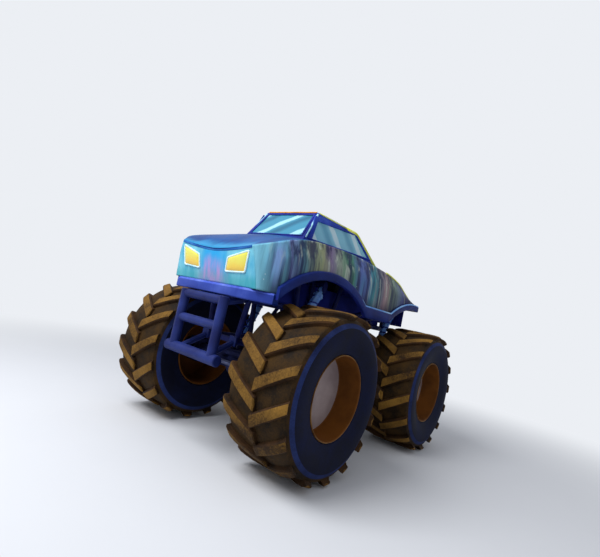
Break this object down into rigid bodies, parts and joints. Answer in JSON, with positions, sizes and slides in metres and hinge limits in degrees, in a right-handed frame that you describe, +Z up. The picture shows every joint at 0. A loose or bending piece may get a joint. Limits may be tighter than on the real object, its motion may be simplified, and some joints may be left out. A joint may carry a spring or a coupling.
{
  "type": "monster truck",
  "caption": "Monster truck with a coupe body shell on a tube chassis, spinning lugged wheels and front and rear steering.",
  "frame": {"origin": "on the ground under the truck's middle, halfway between the axles", "axes": "+X forward, +Y to the truck's left, +Z up"},
  "size_m": [4.176, 2.8, 2.848],
  "materials": {
    "tyre": "matte",
    "rim": "satin",
    "axle": "satin",
    "steel": "satin",
    "frame": "satin",
    "skid": "gloss",
    "shock": "gloss",
    "spring": "gloss",
    "body": "gloss",
    "trim": "satin",
    "bumper": "gloss",
    "glass": "gloss",
    "lamp": "gloss",
    "tail_lamp": "gloss",
    "engine": "satin",
    "cockpit": "matte",
    "floor": "satin"
  },
  "bodies": {
    "truck": {"axle_front": "axle", "axle_rear": "axle", "body_mounts": "frame", "body_sides": "body", "cab_shell": "body", "cab_steering_wheel": "cockpit", "chassis_cross_tubes": "frame", "chassis_rails": "frame", "chassis_struts": "frame", "cockpit_floor": "floor", "dashboard": "cockpit", "driver_seat": "cockpit", "driveshafts": "steel", "engine_block": "engine", "front_bumper": "bumper", "headlamps": "lamp", "hood": "body", "link_brackets": "frame", "lower_trim_left": "trim", "lower_trim_right": "trim", "nose_panel": "body", "rear_deck": "body", "rear_glass": "glass", "roll_cage": "frame", "shock_springs_front": "spring", "shock_springs_rear": "spring", "shock_towers": "frame", "shocks_front": "shock", "shocks_rear": "shock", "side_glass": "glass", "skid_frame_bars": "skid", "skid_frame_braces": "skid", "skid_frame_posts": "skid", "suspension_links_front": "steel", "suspension_links_rear": "steel", "tail_lamps": "tail_lamp", "tow_tabs": "frame", "transfer_case": "axle", "windscreen": "glass"},
    "knuckle_front_left": {"knuckle_front_left": "axle"},
    "wheel_front_left": {"tyre_front_left": "tyre", "rim_front_left": "rim"},
    "knuckle_front_right": {"knuckle_front_right": "axle"},
    "wheel_front_right": {"tyre_front_right": "tyre", "rim_front_right": "rim"},
    "tie_rod_front": {"tie_rod_front": "steel"},
    "steering_ram_front": {"steering_ram_rod_front": "steel"},
    "knuckle_rear_left": {"knuckle_rear_left": "axle"},
    "wheel_rear_left": {"tyre_rear_left": "tyre", "rim_rear_left": "rim"},
    "knuckle_rear_right": {"knuckle_rear_right": "axle"},
    "wheel_rear_right": {"tyre_rear_right": "tyre", "rim_rear_right": "rim"},
    "tie_rod_rear": {"tie_rod_rear": "steel"},
    "steering_ram_rear": {"steering_ram_rod_rear": "steel"}
  },
  "joints": [
    {"name": "steer_front", "type": "hinge", "parent": "truck", "child": "knuckle_front_left", "pos_m": [1.25, 0.92, 0.838], "axis": [0, 0, 1], "range_deg": [-20, 20]},
    {"name": "spin_front_left", "type": "hinge", "parent": "knuckle_front_left", "child": "wheel_front_left", "pos_m": [1.25, 1.01, 0.838], "axis": [0, 1, 0], "continuous": true},
    {"name": "steer_front_right", "type": "hinge", "parent": "truck", "child": "knuckle_front_right", "pos_m": [1.25, -0.92, 0.838], "axis": [0, 0, 1], "range_deg": [-20, 20]},
    {"name": "spin_front_right", "type": "hinge", "parent": "knuckle_front_right", "child": "wheel_front_right", "pos_m": [1.25, -1.01, 0.838], "axis": [0, 1, 0], "continuous": true},
    {"name": "tie_rod_swing_front", "type": "hinge", "parent": "knuckle_front_left", "child": "tie_rod_front", "pos_m": [1.45, 0.92, 0.838], "axis": [0, 0, 1], "range_deg": [-20, 20]},
    {"name": "ram_slide_front", "type": "slide", "parent": "truck", "child": "steering_ram_front", "axis": [0, 1, 0], "range_m": [-0.06981, 0.06981]},
    {"name": "steer_rear", "type": "hinge", "parent": "truck", "child": "knuckle_rear_left", "pos_m": [-1.25, 0.92, 0.838], "axis": [0, 0, 1], "range_deg": [-20, 20]},
    {"name": "spin_rear_left", "type": "hinge", "parent": "knuckle_rear_left", "child": "wheel_rear_left", "pos_m": [-1.25, 1.01, 0.838], "axis": [0, 1, 0], "continuous": true},
    {"name": "steer_rear_right", "type": "hinge", "parent": "truck", "child": "knuckle_rear_right", "pos_m": [-1.25, -0.92, 0.838], "axis": [0, 0, 1], "range_deg": [-20, 20]},
    {"name": "spin_rear_right", "type": "hinge", "parent": "knuckle_rear_right", "child": "wheel_rear_right", "pos_m": [-1.25, -1.01, 0.838], "axis": [0, 1, 0], "continuous": true},
    {"name": "tie_rod_swing_rear", "type": "hinge", "parent": "knuckle_rear_left", "child": "tie_rod_rear", "pos_m": [-1.45, 0.92, 0.838], "axis": [0, 0, 1], "range_deg": [-20, 20]},
    {"name": "ram_slide_rear", "type": "slide", "parent": "truck", "child": "steering_ram_rear", "axis": [0, 1, 0], "range_m": [-0.06981, 0.06981]}
  ],
  "couplings": [
    {"joint": "steer_front_right", "follows": "steer_front", "ratio": 1},
    {"joint": "tie_rod_swing_front", "follows": "steer_front", "ratio": -1},
    {"joint": "ram_slide_front", "follows": "steer_front", "m_per_rad": 0.2},
    {"joint": "steer_rear_right", "follows": "steer_rear", "ratio": 1},
    {"joint": "tie_rod_swing_rear", "follows": "steer_rear", "ratio": -1},
    {"joint": "ram_slide_rear", "follows": "steer_rear", "m_per_rad": -0.2}
  ]
}
